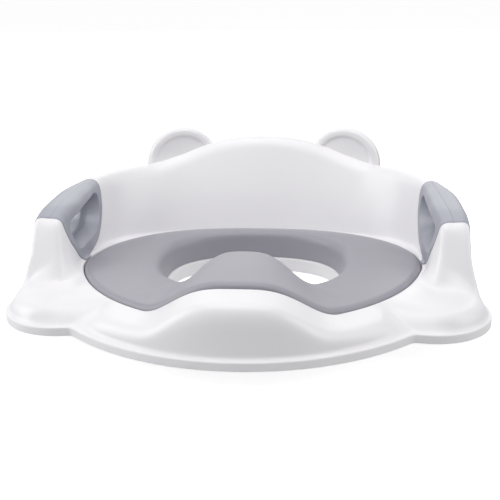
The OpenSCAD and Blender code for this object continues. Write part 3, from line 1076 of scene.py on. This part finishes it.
class Cushion:
    """Grey moulded foam cushion with a raised splash guard."""

    STEP = 1.5
    LONGEST_RUN = 5
    CREASE = 50
    POINTS = (1, 14, 14, 12, 1, 1)

    def __init__(self, form: SeatForm) -> None:
        self.form = form

    def build(self) -> bpy.types.Object:
        """Sweeps the cushion's section round the hole.

        Going out from the hole the section has a rounded hole edge, a broad crown, a rounded
        outer edge and an upright side that stops on the tray.

        Returns:
            The closed cushion.
        """
        f = self.form
        d = turn_stations(self.STEP, self.STEP)
        d_abs = np.abs(d)
        a = np.radians(d_abs)
        hole, edge = f.hole_edge(a), f.cushion_edge(a) - f.gap
        base = hole - 2.5
        rear = ease([[0, 0], [95, 0], [180, 1]], d_abs)
        up = f.hump(a, hole)
        low = f.low_in(a)
        z_hole = f.cushion_h - 1 + (f.guard_h - f.cushion_h + 1) * up
        z_edge = np.minimum(low + f.cushion_proud, f.soft_edge(d_abs))
        mid = hole + 14 + (edge - hole) * (0.28 - 0.2 * rear)
        z_mid = f.cushion_h + 1.5 + (f.guard_h - f.cushion_h - 1) * f.hump(a, mid)
        z0 = f.tray(a, base, f.tray_in_h) + 2 * f.gap
        z1 = f.tray(a, edge, f.tray_out_h) + 2 * f.gap
        corners = np.stack(
            [
                np.stack(p, -1)
                for p in (
                    (base, z0), (hole, z_hole), (mid, z_mid), (edge, z_edge),
                    (edge, z1 + 1), (edge - 1, z1),
                )
            ],
            axis=1,
        )
        one = np.ones_like(d)
        turn = np.stack([0 * one, 9 - 3 * rear, 26 * one, 6 * one, 0 * one, 0 * one], 1)
        path = filled(rounded(corners, turn, self.POINTS), self.LONGEST_RUN)
        obj = loft("cushion", around(path, d))
        shade(obj, self.CREASE)
        return obj

    def dress(self, obj: bpy.types.Object, finishes: Finishes) -> None:
        finishes.dress(obj, CUSHION, "cushion_grey")
        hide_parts("seat_cushion")


class Grips:
    """Both grips, each of two halves that meet on an upright plane along the bar."""

    VOXEL = 0.7
    SOFT_ROUNDS = 5
    SEAM_HALF = 0.08
    SPLIT_IN = 2
    CREASE = 40

    def __init__(self, shell: Shell, handle: SideHandle) -> None:
        self.shell = shell
        self.handle = handle

    def build(self) -> dict[tuple[Side, Half], bpy.types.Object]:
        """Cuts each grip from the grown shell, softens its edges and splits it.

        Returns:
            The halves by side and half.
        """
        made = {}
        for side in Side:
            body = self.shell.solid(1.5, 1.0, self.handle.proud)
            join(body, self.handle.prism(side, 0.0, "outline"), "INTERSECT")
            join(body, self.handle.finger_cutter(side), "DIFFERENCE")
            mod = body.modifiers.new("even", "REMESH")
            mod.mode = "VOXEL"
            mod.voxel_size = self.VOXEL * MM
            soft = body.modifiers.new("soft", "SMOOTH")
            soft.factor = 0.5
            soft.iterations = self.SOFT_ROUNDS
            apply_modifiers(body)
            join(body, bar_loft(side, self.handle, self.shell.form.gap), "DIFFERENCE")
            for half in Half:
                made[side, half] = self.split(body, side, half)
            bpy.data.objects.remove(body)
        return made

    def split(self, body: bpy.types.Object, side: Side, half: Half) -> bpy.types.Object:
        """One half of a grip, cut on the split plane with a hairline left open.

        Args:
            body: the whole grip, which stays as it is.
            side: which grip.
            half: which half to keep.

        Returns:
            The half.
        """
        obj = body.copy()
        obj.data = body.data.copy()
        obj.name = f"{side.name.lower()}_handle_{half.value}"
        bpy.context.scene.collection.objects.link(obj)
        sign = -1 if half is Half.INNER else 1
        turn = math.radians(self.handle.split_turn)
        normal = Vector((math.cos(turn) * side.value, math.sin(turn), 0))
        seam_x = side.value * (self.handle.bar_mid - self.SPLIT_IN)
        middle = Vector(PLACE.put(np.array([seam_x, 0, 0])))
        size = 200 * MM
        keep = bpy.data.meshes.new("keep")
        signs = [[x, y, z] for x in (0, 1) for y in (-1, 1) for z in (-1, 1)]
        corner = np.array(signs, float) * size
        corner[:, 0] = (corner[:, 0] + self.SEAM_HALF * MM) * sign
        across = corner[:, :1] * np.array(normal)
        along = corner[:, 1:2] * np.array([-normal.y, normal.x, 0])
        world = across + along + corner[:, 2:] * np.array([0, 0, 1]) + np.array(middle)
        quads = [[0, 1, 3, 2], [4, 6, 7, 5], [0, 4, 5, 1], [2, 3, 7, 6], [0, 2, 6, 4], [1, 5, 7, 3]]
        keep.from_pydata(world.tolist(), [], quads)
        block = bpy.data.objects.new("keep", keep)
        bpy.context.scene.collection.objects.link(block)
        outward(block)
        join(obj, block, "INTERSECT")
        shade(obj, self.CREASE)
        return obj

    def dress(self, made: dict, finishes: Finishes) -> None:
        """Gives each half its finish."""
        for (side, half), obj in made.items():
            finishes.dress(obj, GRIP, "grip_grey")
            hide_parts(f"{side.name.lower()}_grip_{half.value}")


class Pads:
    """The four anti-slip pads, which keep their CAD form."""

    NODES = ("front_left_pad", "front_right_pad", "rear_left_pad", "rear_right_pad")

    def dress(self, finishes: Finishes) -> None:
        """Gives each pad its finish."""
        for name in self.NODES:
            obj = bpy.data.objects[name]
            obj.data.materials.clear()
            obj.data.materials.append(finishes.material(PAD))


class Studio:
    """Pale floor, soft lights and the camera at the photograph's angle."""

    FLOOR_HALF = 6.0
    FLOOR_LEVEL = -0.0005
    FLOOR_BASE = 0.8
    FLOOR_GLOW = 0.85
    WORLD_SEEN = 0.95
    WORLD_CUT = -0.88
    LIGHTS = (
        ("above", (0.0, -0.1, 0.75), 0.7, 3.6),
        ("left", (-1.2, -0.25, 0.7), 1.0, 9.8),
        ("right", (1.2, -0.25, 0.7), 1.0, 7.2),
        ("behind", (0.0, 2.0, 1.1), 2.0, 9.0),
        ("low_left", (-0.9, -1.2, 0.35), 0.7, 1.4),
    )
    AIM = (0, 0, 0.05)
    CAMERA = (0.061, -0.740, 0.298)
    CAMERA_TURN = (4.85, 18.85, -0.83)
    SENSOR = 36
    FOCAL_SHARE = 900 / 500

    def floor(self) -> None:
        """Adds a wide pale floor under the skirt, which glows only to the camera."""
        size = self.FLOOR_HALF
        corners = [(-size, -size, 0), (size, -size, 0), (size, size, 0), (-size, size, 0)]
        mesh = bpy.data.meshes.new("floor")
        mesh.from_pydata(corners, [], [(0, 1, 2, 3)])
        obj = bpy.data.objects.new("floor", mesh)
        obj.location.z = self.FLOOR_LEVEL
        bpy.context.scene.collection.objects.link(obj)
        mat = bpy.data.materials.new("floor")
        mat.use_nodes = True
        shader = mat.node_tree.nodes["Principled BSDF"]
        shader.inputs["Base Color"].default_value = (*[self.FLOOR_BASE] * 3, 1)
        seen = mat.node_tree.nodes.new("ShaderNodeLightPath")
        mat.node_tree.links.new(seen.outputs["Is Camera Ray"], shader.inputs["Emission Color"])
        shader.inputs["Emission Strength"].default_value = self.FLOOR_GLOW
        shader.inputs["Roughness"].default_value = 0.9
        mesh.materials.append(mat)

    def light(self, name: str, place: tuple, size: float, power: float) -> None:
        """Adds one soft square light that looks at the seat.

        Args:
            name: object name.
            place: where it stands, in metres.
            size: edge length in metres.
            power: power in watts.
        """
        data = bpy.data.lights.new(name, "AREA")
        data.shape = "SQUARE"
        data.size = size
        data.energy = power
        obj = bpy.data.objects.new(name, data)
        obj.location = place
        way = Vector(self.AIM) - Vector(place)
        obj.rotation_euler = way.to_track_quat("-Z", "Y").to_euler()
        bpy.context.scene.collection.objects.link(obj)

    def lights(self) -> None:
        """Adds the lights and a white surround that is bright in mirrors and weak as light."""
        for row in self.LIGHTS:
            self.light(*row)
        world = bpy.data.worlds.new("surround")
        world.use_nodes = True
        nodes, links = world.node_tree.nodes, world.node_tree.links
        nodes["Background"].inputs["Color"].default_value = (1, 1, 1, 1)
        seen = nodes.new("ShaderNodeLightPath")
        strength = nodes.new("ShaderNodeMath")
        strength.operation = "MULTIPLY_ADD"
        strength.inputs[1].default_value = self.WORLD_CUT
        strength.inputs[2].default_value = self.WORLD_SEEN
        links.new(seen.outputs["Is Diffuse Ray"], strength.inputs[0])
        links.new(strength.outputs[0], nodes["Background"].inputs["Strength"])
        bpy.context.scene.world = world
        bpy.context.scene.view_settings.view_transform = "Standard"

    def camera(self) -> None:
        """Places the camera found from the photograph's perspective."""
        yaw, pitch, roll = (math.radians(v) for v in self.CAMERA_TURN)
        flat = math.cos(pitch)
        ahead = Vector((-math.sin(yaw) * flat, math.cos(yaw) * flat, -math.sin(pitch)))
        data = bpy.data.cameras.new("camera")
        data.sensor_width = self.SENSOR
        data.lens = self.FOCAL_SHARE * self.SENSOR
        obj = bpy.data.objects.new("camera", data)
        level = Vector((math.cos(yaw), math.sin(yaw), 0))
        upright = level.cross(ahead)
        right = level * math.cos(roll) + upright * math.sin(roll)
        up = upright * math.cos(roll) - level * math.sin(roll)
        turn = Matrix((right, up, -ahead)).transposed()
        obj.matrix_world = Matrix.Translation(self.CAMERA) @ turn.to_4x4()
        bpy.context.scene.collection.objects.link(obj)
        bpy.context.scene.camera = obj

    def build(self) -> None:
        """Sets the whole stage."""
        self.floor()
        self.lights()
        self.camera()


def main() -> None:
    """Builds and dresses each sub-assembly in order, then the stage."""
    logging.basicConfig(level=logging.INFO, format="%(name)s: %(message)s")
    finishes = Finishes()
    handle = SideHandle()
    shell = Shell(FORM, handle)
    white = shell.build()
    shell.dress(white, finishes)
    log.info("shell: %d faces", len(white.data.polygons))
    cushion = Cushion(FORM)
    soft = cushion.build()
    cushion.dress(soft, finishes)
    log.info("cushion: %d faces", len(soft.data.polygons))
    grips = Grips(shell, handle)
    halves = grips.build()
    grips.dress(halves, finishes)
    log.info("grips: %d faces", sum(len(o.data.polygons) for o in halves.values()))
    Pads().dress(finishes)
    Studio().build()


if __name__ == "__main__":
    main()
